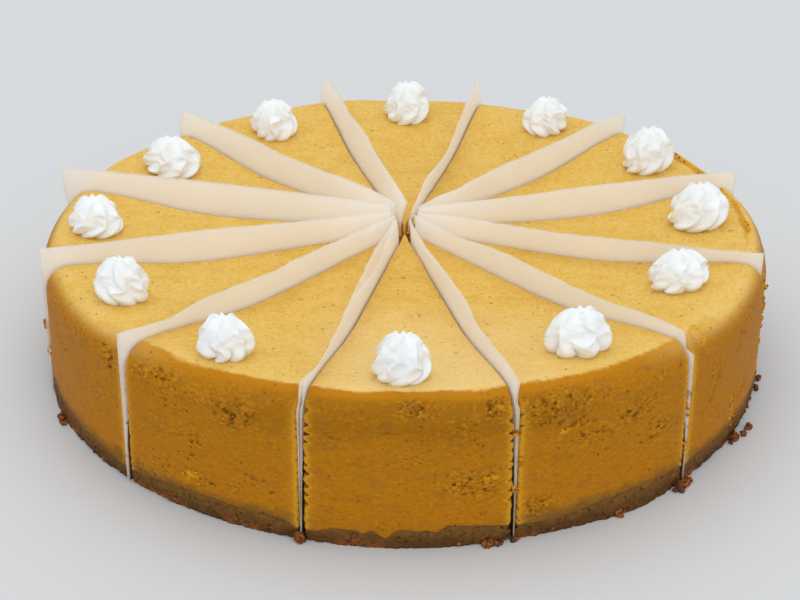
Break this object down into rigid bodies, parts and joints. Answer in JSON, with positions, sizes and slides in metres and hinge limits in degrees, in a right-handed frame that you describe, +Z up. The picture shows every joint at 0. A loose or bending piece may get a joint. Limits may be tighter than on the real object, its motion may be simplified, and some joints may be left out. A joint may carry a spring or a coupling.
{
  "type": "whole baked cheesecake",
  "caption": "Round baked cheesecake on a crumb crust, cut into equal slices, with a folded paper in each cut and a piped cream rosette on each slice.",
  "frame": {"origin": "middle of the underside of the crust, on the surface that the cake stands on", "axes": "+Z up, -Y towards the front, through the middle of the first slice; the slices are numbered clockwise from there, seen from above"},
  "size_m": [0.24, 0.24, 0.0608],
  "materials": {
    "filling": "baked custard, satin",
    "crust": "pressed crumbs, rough",
    "paper": "parchment, matte",
    "cream": "whipped, soft satin"
  },
  "bodies": {
    "root": {"filling_01": "filling", "filling_02": "filling", "filling_03": "filling", "filling_04": "filling", "filling_05": "filling", "filling_06": "filling", "filling_07": "filling", "filling_08": "filling", "filling_09": "filling", "filling_10": "filling", "filling_11": "filling", "filling_12": "filling", "crust_01": "crust", "crust_02": "crust", "crust_03": "crust", "crust_04": "crust", "crust_05": "crust", "crust_06": "crust", "crust_07": "crust", "crust_08": "crust", "crust_09": "crust", "crust_10": "crust", "crust_11": "crust", "crust_12": "crust", "divider_01": "paper", "divider_02": "paper", "divider_03": "paper", "divider_04": "paper", "divider_05": "paper", "divider_06": "paper", "divider_07": "paper", "divider_08": "paper", "divider_09": "paper", "divider_10": "paper", "divider_11": "paper", "divider_12": "paper", "rosette_01": "cream", "rosette_02": "cream", "rosette_03": "cream", "rosette_04": "cream", "rosette_05": "cream", "rosette_06": "cream", "rosette_07": "cream", "rosette_08": "cream", "rosette_09": "cream", "rosette_10": "cream", "rosette_11": "cream", "rosette_12": "cream"}
  },
  "joints": []
}
